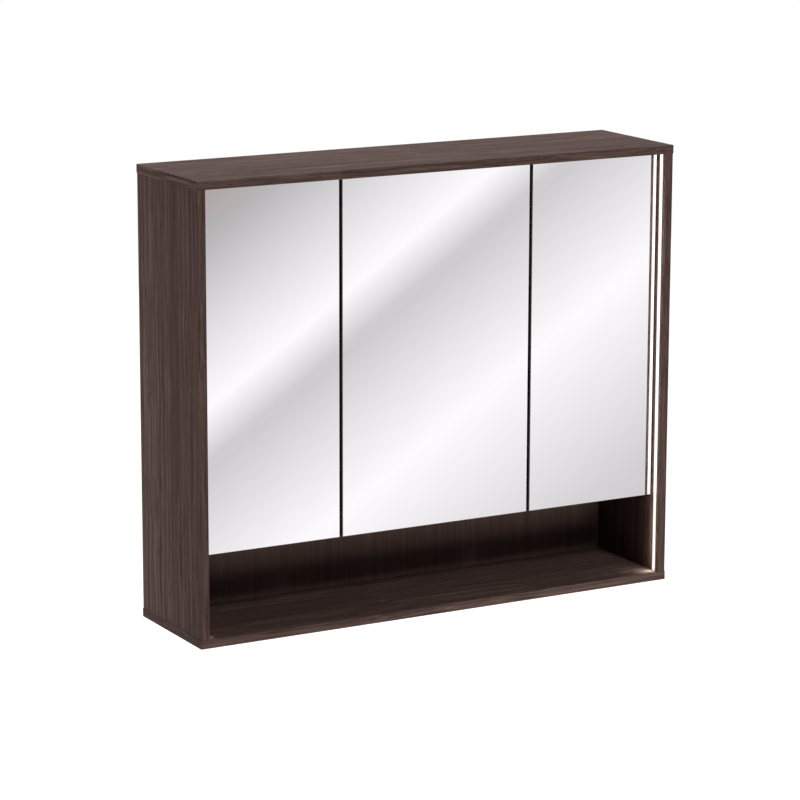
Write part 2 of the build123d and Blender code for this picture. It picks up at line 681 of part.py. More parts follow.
# Switch housing under the niche top board, with two screwed ears and a pocket for the rocker
pivot_z = switch_bottom_z + rocker_pivot_height
with BuildPart() as switch_housing:
    block(switch_x - switch_half_length, switch_x + switch_half_length,
          switch_y - switch_half_width, switch_y + switch_half_width, switch_bottom_z, niche_under_z)
    fillet(switch_housing.edges().filter_by(Axis.Z), switch_round)
    block(switch_x - switch_half_length - ear_length, switch_x + switch_half_length + ear_length,
          switch_y - switch_half_width / 2, switch_y + switch_half_width / 2,
          niche_under_z - ear_thickness, niche_under_z)
    block(switch_x - pocket_half_length, switch_x + pocket_half_length,
          switch_y - pocket_half_width, switch_y + pocket_half_width,
          switch_bottom_z, switch_bottom_z + pocket_depth, Mode.SUBTRACT)
    x_peg(switch_x - pocket_half_length - shaft_seat, switch_x + pocket_half_length + shaft_seat,
          switch_y, pivot_z, shaft_radius + shaft_clearance, Mode.SUBTRACT)
    for x in switch_screw_x:
        z_peg(x, switch_y, niche_under_z - ear_thickness, niche_under_z, screw_radius, Mode.SUBTRACT)
switch_housing.part.label = "switch_housing"
export_step(switch_housing.part, "parts/switch_housing.step")

with BuildPart() as switch_screws:
    for x in switch_screw_x:
        z_peg(x, switch_y, niche_under_z - ear_thickness, niche_under_z + screw_grip, screw_radius)
        z_peg(x, switch_y, niche_under_z - ear_thickness - screw_head_height,
              niche_under_z - ear_thickness, screw_head)
switch_screws.part.label = "switch_screws"
export_step(switch_screws.part, "parts/switch_screws.step")

# Rocker: two sloping faces that meet over a shaft, which turns in the walls of the housing
rocker_outline = (
    (-rocker_half_width, -rocker_end_drop),
    (0, -rocker_middle_drop),
    (rocker_half_width, -rocker_end_drop),
    (rocker_half_width, rocker_shoulder),
    (rocker_crown_half_width, rocker_crown),
    (-rocker_crown_half_width, rocker_crown),
    (-rocker_half_width, rocker_shoulder),
)
rocker_half_length = pocket_half_length - rocker_side_play
with BuildPart() as switch_rocker:
    with BuildSketch(Plane(origin=(switch_x - rocker_half_length, switch_y, pivot_z),
                           x_dir=(0, 1, 0), z_dir=(1, 0, 0))):
        Polygon(*rocker_outline, align=None)
    extrude(amount=2 * rocker_half_length)
    x_peg(switch_x - pocket_half_length - shaft_seat + rocker_side_play,
          switch_x + pocket_half_length + shaft_seat - rocker_side_play, switch_y, pivot_z, shaft_radius)
switch_rocker.part.label = "switch_rocker"
export_step(switch_rocker.part, "parts/switch_rocker.step")

# The switch lead passes the back panel and climbs behind it to the underside of the driver.
with BuildPart() as switch_lead:
    with BuildLine() as route:
        FilletPolyline(
            (switch_x, switch_y + switch_half_width, switch_lead_z),
            (switch_x, switch_lead_y, switch_lead_z),
            (switch_x, switch_lead_y, driver_bottom_z),
            radius=switch_lead_bend,
        )
    with BuildSketch(Plane(origin=route.line @ 0, z_dir=route.line % 0)):
        Circle(lead_radius)
    sweep()
switch_lead.part.label = "switch_lead"
export_step(switch_lead.part, "parts/switch_lead.step")

# Clips: small blocks bored for the lead, under the top board and on the rear of the back panel
left_run = driver_left - tab_length + side_in
right_run = side_in - driver_right - tab_length
rise = driver_bottom_z - switch_lead_z
clip_half = clip_length / 2
clip_bore = lead_radius + clip_play
with BuildPart() as lead_clips:
    top_clips = [-side_in + left_run * (i + 0.5) / round(left_run / top_clip_pitch)
                 for i in range(round(left_run / top_clip_pitch))]
    top_clips.append(side_in - right_run / 2)
    for x in top_clips:
        block(x - clip_half, x + clip_half, light_lead_y - clip_bore - clip_wall,
              light_lead_y + clip_bore + clip_wall, light_lead_z - clip_bore - clip_wall, top_under_z)
        x_peg(x - clip_half, x + clip_half, light_lead_y, light_lead_z, clip_bore, Mode.SUBTRACT)
    rear_clips = round(rise / rear_clip_pitch)
    for i in range(rear_clips):
        z = switch_lead_z + rise * (i + 0.5) / rear_clips
        block(switch_x - clip_bore - clip_wall, switch_x + clip_bore + clip_wall, back_rear_y,
              switch_lead_y + clip_bore + clip_wall, z - clip_half, z + clip_half)
        z_peg(switch_x, switch_lead_y, z - clip_half, z + clip_half, clip_bore, Mode.SUBTRACT)
lead_clips.part.label = "lead_clips"
export_step(lead_clips.part, "parts/lead_clips.step")
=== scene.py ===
import math

import bmesh
import bpy
from mathutils import Matrix, Vector


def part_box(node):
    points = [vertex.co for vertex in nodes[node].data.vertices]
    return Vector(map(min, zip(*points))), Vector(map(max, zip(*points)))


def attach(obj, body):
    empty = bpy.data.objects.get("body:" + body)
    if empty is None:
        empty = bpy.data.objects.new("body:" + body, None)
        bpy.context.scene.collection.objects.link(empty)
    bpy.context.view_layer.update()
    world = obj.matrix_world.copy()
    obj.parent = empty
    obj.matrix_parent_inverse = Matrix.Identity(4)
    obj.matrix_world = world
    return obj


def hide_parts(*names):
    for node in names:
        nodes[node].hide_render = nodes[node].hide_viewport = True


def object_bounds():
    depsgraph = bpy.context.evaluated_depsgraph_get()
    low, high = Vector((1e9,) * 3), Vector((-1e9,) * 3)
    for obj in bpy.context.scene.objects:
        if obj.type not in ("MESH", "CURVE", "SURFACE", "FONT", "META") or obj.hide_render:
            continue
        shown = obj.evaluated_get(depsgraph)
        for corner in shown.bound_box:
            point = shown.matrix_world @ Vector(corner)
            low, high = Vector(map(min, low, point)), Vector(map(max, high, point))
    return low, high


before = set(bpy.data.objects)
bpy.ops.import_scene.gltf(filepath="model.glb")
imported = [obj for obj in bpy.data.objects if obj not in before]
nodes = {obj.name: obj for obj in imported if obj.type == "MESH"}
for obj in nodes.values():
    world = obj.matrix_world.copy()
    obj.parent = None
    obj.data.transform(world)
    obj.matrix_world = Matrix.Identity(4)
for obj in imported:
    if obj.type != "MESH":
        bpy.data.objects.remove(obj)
cad_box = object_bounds()


# Side panels and partitions: chipboard faced with dark oak melamine, its grain upright.
# Their edges are banded with the same print, and they are dowelled and glued to the level boards.
def put(tree, kind, sockets=None, **settings):
    """Adds one node, with its settings and with a value or a link for each named socket."""
    node = tree.nodes.new(kind)
    for key, value in settings.items():
        setattr(node, key, value)
    for socket, source in (sockets or {}).items():
        if isinstance(source, bpy.types.NodeSocket):
            tree.links.new(source, node.inputs[socket])
        else:
            node.inputs[socket].default_value = source
    return node


def new_finish(name, **constants):
    """A finish with its shader, and the numbers that are the same all over the surface."""
    finish = bpy.data.materials.new(name)
    finish.use_nodes = True
    shader = finish.node_tree.nodes["Principled BSDF"]
    for socket, value in constants.items():
        shader.inputs[socket.replace("_", " ").title().replace("Ior", "IOR")].default_value = value
    return finish, finish.node_tree, shader


def ramp(tree, factor, stops):
    """A run of colours or greys over a factor."""
    node = put(tree, "ShaderNodeValToRGB", {"Fac": factor})
    band = node.color_ramp.elements
    while len(band) < len(stops):
        band.new(0.5)
    for element, (place, colour) in zip(band, stops):
        element.position = place
        element.color = (*colour, 1) if isinstance(colour, tuple) else (colour, colour, colour, 1)
    return node.outputs["Color"]


def noise(tree, vector, scale=1.0, detail=3.0, roughness=0.5):
    """A cloudy grey."""
    return put(tree, "ShaderNodeTexNoise", {
        "Vector": vector, "Scale": scale, "Detail": detail, "Roughness": roughness,
    }).outputs["Fac"]


def stretched(tree, vector, scale, offset=(0, 0, 0)):
    """A place on the surface, drawn out or pressed together along each axis, and moved."""
    mapped = put(tree, "ShaderNodeMapping", {"Vector": vector, "Scale": scale, "Location": offset})
    return mapped.outputs["Vector"]


def maths(tree, operation, a, b=0.0):
    """One sum on greys or numbers."""
    return put(tree, "ShaderNodeMath", {0: a, 1: b}, operation=operation).outputs["Value"]


def relief(tree, shader, height, depth, strength):
    """Small relief from a grey."""
    bump = put(tree, "ShaderNodeBump", {"Height": height, "Distance": depth, "Strength": strength})
    tree.links.new(bump.outputs["Normal"], shader.inputs["Normal"])


def oak_print(finish_name, upright, shift=0.0):
    """Dark oak print: soft zones, wavering growth streaks and short pores, all drawn out along the grain.
    A shift takes another part of the print."""
    finish, tree, shader = new_finish(finish_name, specular_ior_level=0.02)
    place = put(tree, "ShaderNodeTexCoord")
    drift = put(tree, "ShaderNodeTexNoise", {"Vector": place.outputs["Object"], "Scale": 6.0, "Detail": 1.0})
    waver_width = 0.014
    waver = put(tree, "ShaderNodeVectorMath", {0: drift.outputs["Color"], 1: (waver_width,) * 3},
                operation="MULTIPLY")
    grain = put(tree, "ShaderNodeVectorMath", {0: place.outputs["Object"], 1: waver.outputs["Vector"]},
                operation="ADD").outputs["Vector"]

    def layer(thick, long, offset):
        """The place for one layer of the print, which runs from front to back on a level board's ends."""
        offset = tuple(o + shift for o in offset)
        if upright:
            return stretched(tree, grain, (thick, thick, long), offset)
        level = stretched(tree, grain, (long, thick, thick), offset)
        end = stretched(tree, grain, (thick, long, thick), offset)
        normal = put(tree, "ShaderNodeSeparateXYZ", {0: place.outputs["Normal"]})
        on_end = maths(tree, "GREATER_THAN", maths(tree, "ABSOLUTE", normal.outputs["X"]), 0.6)
        either = put(tree, "ShaderNodeMix", {"Factor": on_end, 4: level, 5: end}, data_type="VECTOR")
        return either.outputs[1]

    zones = noise(tree, layer(thick=9, long=0.5, offset=(0.4, 1.6, 0.1)), detail=1.0)
    bands = noise(tree, layer(thick=120, long=1.1, offset=(0.2, 0.6, 0.5)), detail=3.0, roughness=0.6)
    streaks = noise(tree, layer(thick=330, long=3.0, offset=(0.3, 0.1, 0.2)), detail=3.0, roughness=0.6)
    pores = noise(tree, layer(thick=1100, long=26.0, offset=(0.7, 0.2, 0.4)), detail=1.0)
    figured = ramp(tree, zones, [(0.36, 0.35), (0.62, 1.25)])
    fine = maths(tree, "MULTIPLY", maths(tree, "SUBTRACT", streaks, 0.5), figured)
    zone_share, band_share, lift = 0.26, 0.50, 0.12
    broad = maths(tree, "MULTIPLY", zones, zone_share)
    tone = maths(tree, "ADD", broad, maths(tree, "MULTIPLY", bands, band_share))
    tone = maths(tree, "ADD", maths(tree, "ADD", tone, lift), fine)
    colour = ramp(tree, tone, [
        (0.28, (0.031, 0.0182, 0.0153)), (0.42, (0.046, 0.0280, 0.0238)),
        (0.51, (0.057, 0.0356, 0.0303)), (0.60, (0.071, 0.0456, 0.0386)),
        (0.74, (0.098, 0.0650, 0.0540)),
    ])
    open_pores = ramp(tree, pores, [(0.60, 0.0), (0.70, 0.75)])
    pore_brown = (0.022, 0.0122, 0.0102, 1)
    dark = put(tree, "ShaderNodeMix", {"Factor": open_pores, 6: colour, 7: pore_brown}, data_type="RGBA")
    tree.links.new(dark.outputs[2], shader.inputs["Base Color"])
    tree.links.new(ramp(tree, streaks, [(0.3, 0.62), (0.7, 0.48)]), shader.inputs["Roughness"])
    relief(tree, shader, maths(tree, "SUBTRACT", streaks, open_pores), depth=0.00022, strength=0.5)
    return finish


def dress(finish, *names):
    """Gives a finish to pieces whose shape stays."""
    for name in names:
        materials = nodes[name].data.materials
        if not materials:
            materials.append(finish)
        for place in range(len(materials)):
            materials[place] = finish


upright_oak = oak_print("upright_oak", upright=True)
right_oak = oak_print("right_oak", upright=True, shift=5.3)
dress(upright_oak, "left_side_panel", "left_partition", "right_partition")
dress(right_oak, "right_side_panel")
left_inner_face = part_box("left_side_panel")[1].x
right_inner_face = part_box("right_side_panel")[0].x
left_partition_low, left_partition_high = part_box("left_partition")
right_partition_low, right_partition_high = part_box("right_partition")

# Level boards: the same melamine board with its grain along the cabinet.
# Top and bottom run over the ends of the sides; the niche's top board lies between the sides.
level_oak = oak_print("level_oak", upright=False)
dress(level_oak, "top_board", "bottom_board", "niche_top_board")

# Back panel: thin fibreboard, printed dark on the side that shows and left raw, brown and felted,
# on the side towards the wall. It is slid into grooves in the sides, top and bottom.
fibreboard, tree, shader = new_finish("fibreboard", specular_ior_level=0.12)
place = put(tree, "ShaderNodeTexCoord")
printed = ramp(tree, noise(tree, stretched(tree, place.outputs["Object"], (240, 240, 3)), detail=4.0), [
    (0.35, (0.070, 0.0405, 0.0330)), (0.65, (0.090, 0.0550, 0.0450)),
])
felted = noise(tree, stretched(tree, place.outputs["Object"], (420, 420, 420)), detail=6.0, roughness=0.7)
felt = ramp(tree, felted, [
    (0.30, (0.150, 0.082, 0.042)), (0.55, (0.235, 0.140, 0.076)), (0.75, (0.330, 0.212, 0.124)),
])
facing = put(tree, "ShaderNodeSeparateXYZ", {0: place.outputs["Normal"]})
is_rear = maths(tree, "GREATER_THAN", facing.outputs["Y"], 0.5)
sides = put(tree, "ShaderNodeMix", {"Factor": is_rear, 6: printed, 7: felt}, data_type="RGBA")
tree.links.new(sides.outputs[2], shader.inputs["Base Color"])
tree.links.new(ramp(tree, is_rear, [(0.0, 0.52), (1.0, 0.85)]), shader.inputs["Roughness"])
fibres = noise(tree, stretched(tree, place.outputs["Object"], (600, 600, 600)), detail=4.0)
relief(tree, shader, fibres, depth=0.0002, strength=0.5)
dress(fibreboard, "back_panel")

# Dowels: short round pegs of beech, with the flecks of that wood.
# They are glued half in one board and half in the next, so none shows.
beech, tree, shader = new_finish("beech", roughness=0.62)
place = put(tree, "ShaderNodeTexCoord")
flecks = noise(tree, stretched(tree, place.outputs["Object"], (900, 900, 160)), detail=4.0)
tree.links.new(ramp(tree, flecks, [
    (0.30, (0.43, 0.26, 0.14)), (0.60, (0.60, 0.42, 0.26)), (0.80, (0.66, 0.49, 0.32)),
]), shader.inputs["Base Color"])
relief(tree, shader, flecks, depth=0.0001, strength=0.4)
dress(beech, "carcass_dowels")


# Hanger brackets: bent zinc-plated sheet, one flange screwed to the side and one leg on the wall,
# with a level slot for the wall screw. Two pan-head screws with a cross recess hold each one.
def plated(name, colour, smooth, rough, grain, uneven=0.12, depth=0.00006):
    """Plated metal: a thin uneven bright layer, drawn or spangled by the grain's stretch."""
    finish, tree, shader = new_finish(name, metallic=1.0)
    place = put(tree, "ShaderNodeTexCoord")
    cloud = noise(tree, stretched(tree, place.outputs["Object"], grain), detail=5.0, roughness=0.6)
    low = tuple(c * (1 - uneven) for c in colour)
    high = tuple(min(1.0, c * (1 + uneven)) for c in colour)
    tree.links.new(ramp(tree, cloud, [(0.3, low), (0.7, high)]), shader.inputs["Base Color"])
    tree.links.new(ramp(tree, cloud, [(0.3, smooth), (0.7, rough)]), shader.inputs["Roughness"])
    relief(tree, shader, cloud, depth=depth, strength=0.35)
    return finish


def closed(name, shape):
    """The mesh of a finished shape, its faces turned outwards."""
    bmesh.ops.recalc_face_normals(shape, faces=shape.faces)
    mesh = bpy.data.meshes.new(name)
    shape.to_mesh(mesh)
    shape.free()
    return mesh


def turned(name, outline, steps=24):
    """A turned mesh about Z from (radius, height) pairs, first to last."""
    shape = bmesh.new()
    nothing = 1e-7
    rings = []
    for radius, height in outline:
        if radius < nothing:
            rings.append([shape.verts.new((0, 0, height))])
            continue
        rings.append([
            shape.verts.new((radius * math.cos(a), radius * math.sin(a), height))
            for a in (2 * math.pi * i / steps for i in range(steps))
        ])
    for low, high in zip(rings, rings[1:]):
        for i in range(steps):
            j = (i + 1) % steps
            corners = [low[i % len(low)], low[j % len(low)], high[j % len(high)], high[i % len(high)]]
            corners = [c for n, c in enumerate(corners) if c not in corners[:n]]
            shape.faces.new(corners)
    bmesh.ops.remove_doubles(shape, verts=shape.verts, dist=nothing)
    return closed(name, shape)


def cut(mesh, tool):
    """The mesh with a second one cut out of it."""
    block = bpy.data.objects.new("block", mesh)
    cutter = bpy.data.objects.new("cutter", tool)
    for part in (block, cutter):
        bpy.context.scene.collection.objects.link(part)
    change = block.modifiers.new("cut", "BOOLEAN")
    change.object = cutter
    change.operation = "DIFFERENCE"
    change.solver = "EXACT"
    result = bpy.data.meshes.new_from_object(block.evaluated_get(bpy.context.evaluated_depsgraph_get()))
    bpy.data.objects.remove(block)
    bpy.data.objects.remove(cutter)
    return result


def cross_screw(head, head_height, shank, length):
    """A pan-head screw that points down, its head's seat at the origin."""
    body = turned("cross_screw", [
        (0, head_height), (head * 0.42, head_height * 0.98), (head * 0.74, head_height * 0.84),
        (head * 0.93, head_height * 0.52), (head, head_height * 0.12), (head * 0.97, 0), (shank, 0),
        (shank, 2 * shank - length), (0, -length),
    ])
    recess_long, recess_wide, recess_tall = head * 1.16, head * 0.30, head_height * 1.3
    recess_taper = 0.55
    for turn in (0, math.pi / 2):
        bar = bmesh.new()
        arm = bmesh.ops.create_cube(bar, size=1.0)["verts"]
        sized = Matrix.Diagonal((recess_long, recess_wide, recess_tall, 1))
        bmesh.ops.transform(bar, verts=arm, matrix=sized)
        for corner in arm:
            if corner.co.z < 0:
                corner.co.x *= recess_taper
                corner.co.y *= recess_taper
            corner.co.z += head_height * 1.02
        bmesh.ops.transform(bar, verts=arm, matrix=Matrix.Rotation(turn, 4, "Z"))
        body = cut(body, closed("cross_recess", bar))
    return body


def add_piece(name, mesh, finish, body, node):
    """A piece that stands for a node and moves with a body."""
    piece = bpy.data.objects.new(name, mesh)
    bpy.context.scene.collection.objects.link(piece)
    mesh.materials.append(finish)
    for face in mesh.polygons:
        face.use_smooth = True
    sharp_from = 35
    mesh.set_sharp_from_angle(angle=math.radians(sharp_from))
    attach(piece, body)
    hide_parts(node)


def set_pieces(name, mesh, places, finish, body, node):
    """One piece of equal small parts: each at a point, with its Z along a direction and a turn about it."""
    first_turn, next_turn = 12, 37
    whole = bmesh.new()
    for count, (point, direction) in enumerate(places):
        start = len(whole.verts)
        whole.from_mesh(mesh)
        whole.verts.ensure_lookup_table()
        aim = Vector(direction).to_track_quat("Z", "X").to_matrix().to_4x4()
        spin = Matrix.Rotation(math.radians(next_turn * count + first_turn), 4, "Z")
        stand = Matrix.Translation(point) @ aim @ spin
        bmesh.ops.transform(whole, verts=whole.verts[start:], matrix=stand)
    made = bpy.data.meshes.new(name)
    whole.to_mesh(made)
    whole.free()
    add_piece(name, made, finish, body, node)


zinc_plate = plated("zinc_plate", (0.60, 0.61, 0.62), smooth=0.26, rough=0.44, grain=(260, 260, 260))
dress(zinc_plate, "left_hanger_bracket", "right_hanger_bracket")
screw_head, screw_head_height, screw_shank, screw_length = 0.0030, 0.0016, 0.0016, 0.011
small_screw = cross_screw(screw_head, screw_head_height, screw_shank, screw_length)
hanger_sheet, hanger_screw_offset = 0.002, 0.020
flange_middle_y = (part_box("left_hanger_bracket")[0].y - hanger_sheet) / 2
set_pieces("hanger_cross_screws", small_screw, [
    ((face + hand * hanger_sheet, flange_middle_y, dz), (hand, 0, 0))
    for face, hand in ((left_inner_face, 1), (right_inner_face, -1))
    for dz in (-hanger_screw_offset, hanger_screw_offset)
], zinc_plate, "carcass", "hanger_screws")


# Caps: moulded discs of brown plastic with a thin rim.
# They are pushed into the two holes in the back panel through which the wall screws are driven.
def moulded(name, colour, roughness, grain=1800, depth=0.00004, **constants):
    """Moulded plastic with the fine even texture of a spark-eroded mould."""
    finish, tree, shader = new_finish(name, **constants)
    place = put(tree, "ShaderNodeTexCoord")
    fine = noise(tree, stretched(tree, place.outputs["Object"], (grain, grain, grain)), detail=3.0)
    broad = noise(tree, stretched(tree, place.outputs["Object"], (45, 45, 45)), detail=2.0)
    tree.links.new(ramp(tree, broad, [
        (0.3, tuple(c * 0.90 for c in colour)), (0.7, tuple(min(1.0, c * 1.06) for c in colour)),
    ]), shader.inputs["Base Color"])
    uneven = 0.06
    sheen = ramp(tree, fine, [(0.35, roughness - uneven), (0.65, roughness + uneven)])
    tree.links.new(sheen, shader.inputs["Roughness"])
    relief(tree, shader, fine, depth=depth, strength=0.5)
    return finish


brown_plastic = moulded("brown_plastic", (0.060, 0.036, 0.028), roughness=0.45)
dress(brown_plastic, "screw_hole_caps")

# Light channels: anodised aluminium U-sections pressed flush into grooves of the side panels.
# Drawing leaves fine lines along their length.
drawn_aluminium = plated("drawn_aluminium", (0.74, 0.74, 0.75), smooth=0.30, rough=0.42,
                         grain=(2600, 2600, 6))
dress(drawn_aluminium, "left_light_channel", "right_light_channel")

# Light strips: white flexible circuit boards with a yellow diode every 17 mm.
# They are stuck on the floors of the channels, behind the covers.
strip_board, tree, shader = new_finish("strip_board", roughness=0.40)
place = put(tree, "ShaderNodeTexCoord")
spot = put(tree, "ShaderNodeSeparateXYZ", {0: place.outputs["Object"]})
diodes_per_metre = 60.0
step = maths(tree, "FRACT", maths(tree, "MULTIPLY", spot.outputs["Z"], diodes_per_metre))
diode_half = 0.11
off_diode = maths(tree, "ABSOLUTE", maths(tree, "SUBTRACT", step, 0.5))
diode = maths(tree, "LESS_THAN", off_diode, diode_half)
soldered = noise(tree, stretched(tree, place.outputs["Object"], (700, 700, 120)), detail=2.0)
mask = ramp(tree, soldered, [(0.4, (0.78, 0.78, 0.76)), (0.6, (0.88, 0.88, 0.86))])
diode_yellow = (0.92, 0.72, 0.20, 1)
board = put(tree, "ShaderNodeMix", {"Factor": diode, 6: mask, 7: diode_yellow}, data_type="RGBA")
tree.links.new(board.outputs[2], shader.inputs["Base Color"])
relief(tree, shader, diode, depth=0.0004, strength=0.6)
dress(strip_board, "left_light_strip", "right_light_strip")

# Light covers: opal plastic snapped between the lips of the channels, evenly lit from behind
# by a warm white, a touch brighter over each diode.
opal, tree, shader = new_finish("opal", roughness=0.38, emission_strength=1.0)
place = put(tree, "ShaderNodeTexCoord")
spot = put(tree, "ShaderNodeSeparateXYZ", {0: place.outputs["Object"]})
step = maths(tree, "FRACT", maths(tree, "MULTIPLY", spot.outputs["Z"], diodes_per_metre))
off_diode = maths(tree, "ABSOLUTE", maths(tree, "SUBTRACT", step, 0.5))
warm = ramp(tree, off_diode, [(0.0, (1.0, 0.98, 0.94)), (0.5, (1.0, 0.95, 0.88))])
tree.links.new(warm, shader.inputs["Emission Color"])
milk = noise(tree, stretched(tree, place.outputs["Object"], (300, 300, 300)))
milky = ramp(tree, milk, [(0.3, (0.86, 0.86, 0.84)), (0.7, (0.93, 0.93, 0.92))])
tree.links.new(milky, shader.inputs["Base Color"])
dress(opal, "left_light_cover", "right_light_cover")

# Leads: two-core cable in a grey sheath, from the strips and the switch to the driver.
# They run behind the back panel, held under the top board and on the panel by bored clips of white nylon.
cable_sheath = moulded("cable_sheath", (0.30, 0.30, 0.31), roughness=0.46, grain=900, depth=0.00003)
dress(cable_sheath, "left_light_lead", "right_light_lead", "switch_lead")
white_nylon = moulded("white_nylon", (0.62, 0.62, 0.59), roughness=0.40)
dress(white_nylon, "lead_clips")

# Driver: a sealed white plastic case of two halves with a seam round it and a sunk field on its rear face,
# screwed by an ear at each end under the top board, behind the back panel.
case_low, case_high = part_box("light_driver")
ear_length, ear_rear, ear_thickness = 0.014, -0.010, 0.003
case_round, case_steps = 0.003, 6
rim, groove, field, sink = 0.0010, 0.0008, 0.0050, 0.0006
seam_front, seam_rear = -0.0088, -0.0074
front, rear = case_low.y, case_high.y
case_sections = (
    (front, rim), (front + rim / 2, 0.3 * rim), (front + rim, 0.0),
    (seam_front, 0.0), (seam_front + groove / 4, groove), (seam_rear - groove / 4, groove), (seam_rear, 0.0),
    (rear - rim, 0.0), (rear - rim / 2, 0.3 * rim), (rear, rim),
    (rear, field), (rear - sink, field + groove),
)
case = bmesh.new()
rings = []
for y, inset in case_sections:
    ring = []
    for corner in range(4):
        out_x = 1 if corner in (0, 3) else -1
        out_z = 1 if corner in (0, 1) else -1
        end_x = case_high.x - ear_length if out_x > 0 else case_low.x + ear_length
        end_z = case_high.z if out_z > 0 else case_low.z
        centre_x = end_x - out_x * (inset + case_round)
        centre_z = end_z - out_z * (inset + case_round)
        for step in range(case_steps + 1):
            a = math.radians(90 * (corner + step / case_steps))
            spot = (centre_x + case_round * math.cos(a), y, centre_z + case_round * math.sin(a))
            ring.append(case.verts.new(spot))
    rings.append(ring)
for low, high in zip(rings, rings[1:]):
    for i in range(len(low)):
        j = (i + 1) % len(low)
        case.faces.new((low[i], low[j], high[j], high[i]))
case.faces.new(rings[0])
case.faces.new(rings[-1])
ear_half = (ear_rear - case_low.y) / 2
ear_root, ear_steps = 0.002, 12
for end, out_x in ((case_low.x, -1), (case_high.x, 1)):
    hole_x = end - out_x * ear_length / 2
    inner_x = end - out_x * (ear_length + ear_root)
    outline = [(inner_x, case_low.y)] + [
        (hole_x + out_x * (ear_length / 2) * math.cos(a), case_low.y + ear_half + ear_half * math.sin(a))
        for a in (math.radians(-90 + 180 * i / ear_steps) for i in range(ear_steps + 1))
    ] + [(inner_x, ear_rear)]
    under = [case.verts.new((x, y, case_high.z - ear_thickness)) for x, y in outline]
    over = [case.verts.new((x, y, case_high.z)) for x, y in outline]
    case.faces.new(under)
    case.faces.new(over)
    for i in range(len(outline)):
        j = (i + 1) % len(outline)
        case.faces.new((under[i], under[j], over[j], over[i]))
case_plastic = moulded("case_plastic", (0.60, 0.60, 0.58), roughness=0.44, grain=1500, depth=0.00006)
add_piece("driver_case", closed("driver_case", case), case_plastic,
          "carcass", "light_driver")
set_pieces("driver_cross_screws", small_screw, [
    ((x, case_low.y + ear_half, case_high.z - ear_thickness), (0, 0, -1))
    for x in (case_low.x + ear_length / 2, case_high.x - ear_length / 2)
], zinc_plate, "carcass", "driver_screws")

# Mains gland: a moulded nut of black nylon with a domed mouth, on a six-sided collar.
# It is screwed into the underside of the driver, and the supply enters through its bore.
gland_low, gland_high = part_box("mains_gland")
gland_radius = (gland_high.x - gland_low.x) / 2
gland_height = gland_high.z - gland_low.z
gland_bore, gland_bore_depth = 0.0032, 0.010
bore_end = gland_height - gland_bore_depth
nut = 0.84 * gland_radius
collar_inside, collar_height, collar_edge = 0.88 * nut, 0.0048, 0.0006
gland = bmesh.new()
gland.from_mesh(turned("nut", [
    (0, bore_end), (gland_bore, bore_end), (gland_bore, gland_height),
    (nut * 0.72, gland_height), (nut * 0.92, gland_height * 0.92), (nut, gland_height * 0.78),
    (nut, 0), (0, 0),
], 36))
gland.from_mesh(turned("collar", [
    (collar_inside, 0), (gland_radius * 0.97, 0), (gland_radius, collar_edge),
    (gland_radius, collar_height - collar_edge), (gland_radius * 0.97, collar_height),
    (collar_inside, collar_height), (collar_inside, 0),
], 6))
gland_middle = (gland_low + gland_high) / 2
gland_place = Matrix.Translation((gland_middle.x, gland_middle.y, gland_high.z))
bmesh.ops.transform(gland, verts=gland.verts, matrix=gland_place @ Matrix.Rotation(math.pi, 4, "X"))
black_nylon = moulded("black_nylon", (0.020, 0.020, 0.021), roughness=0.42, grain=1400, depth=0.00005)
add_piece("mains_gland_nut", closed("mains_gland_nut", gland), black_nylon,
          "carcass", "mains_gland")

# Switch: a black nylon housing screwed under the niche's top board by two ears.
# Its rocker is a shinier black and turns on a shaft in the housing's walls.
dress(black_nylon, "switch_housing")
rocker_black = moulded("rocker_black", (0.012, 0.012, 0.013), roughness=0.24, grain=2600, depth=0.00001)
dress(rocker_black, "switch_rocker")
switch_low, switch_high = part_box("switch_housing")
switch_ear_middle, switch_ear_thickness = 0.005, 0.003
switch_middle_y = (switch_low.y + switch_high.y) / 2
set_pieces("switch_cross_screws", small_screw, [
    ((x, switch_middle_y, switch_high.z - switch_ear_thickness), (0, 0, -1))
    for x in (switch_low.x + switch_ear_middle, switch_high.x - switch_ear_middle)
], zinc_plate, "carcass", "switch_screws")

# Hinge plates and arms: pressed steel, nickel plated. The plates are screwed to the left side,
# the left partition and the right side, and each arm is clamped to its plate by one screw.
nickel_plate = plated("nickel_plate", (0.66, 0.64, 0.60), smooth=0.20, rough=0.28, grain=(160, 160, 160),
                      uneven=0.05, depth=0.000004)
dress(nickel_plate, "hinge_plates", "hinge_arms")
hinge_from_door_end = 0.090
door_low, door_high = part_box("left_door_board")
hinge_heights = (door_low.z + hinge_from_door_end, door_high.z - hinge_from_door_end)
hinge_faces = {
    "left": (left_inner_face, 1), "middle": (left_partition_high.x, 1), "right": (right_inner_face, -1),
}
plate_sheet, plate_screw_offset, plate_screw_behind = 0.002, 0.016, 0.053
set_pieces("hinge_plate_cross_screws", small_screw, [
    ((face + hand * plate_sheet, door_high.y + plate_screw_behind, z + dz), (hand, 0, 0))
    for face, hand in hinge_faces.values() for z in hinge_heights
    for dz in (-plate_screw_offset, plate_screw_offset)
], nickel_plate, "carcass", "hinge_plate_screws")
arm_screw_head, arm_screw_head_height, arm_screw_shank, arm_screw_length = 0.0034, 0.0018, 0.0020, 0.0068
arm_screw = cross_screw(arm_screw_head, arm_screw_head_height, arm_screw_shank, arm_screw_length)
arm_top, arm_screw_behind = 0.0098, 0.057
set_pieces("hinge_arm_cross_screws", arm_screw, [
    ((face + hand * arm_top, door_high.y + arm_screw_behind, z), (hand, 0, 0))
    for face, hand in hinge_faces.values() for z in hinge_heights
], nickel_plate, "carcass", "hinge_arm_screws")

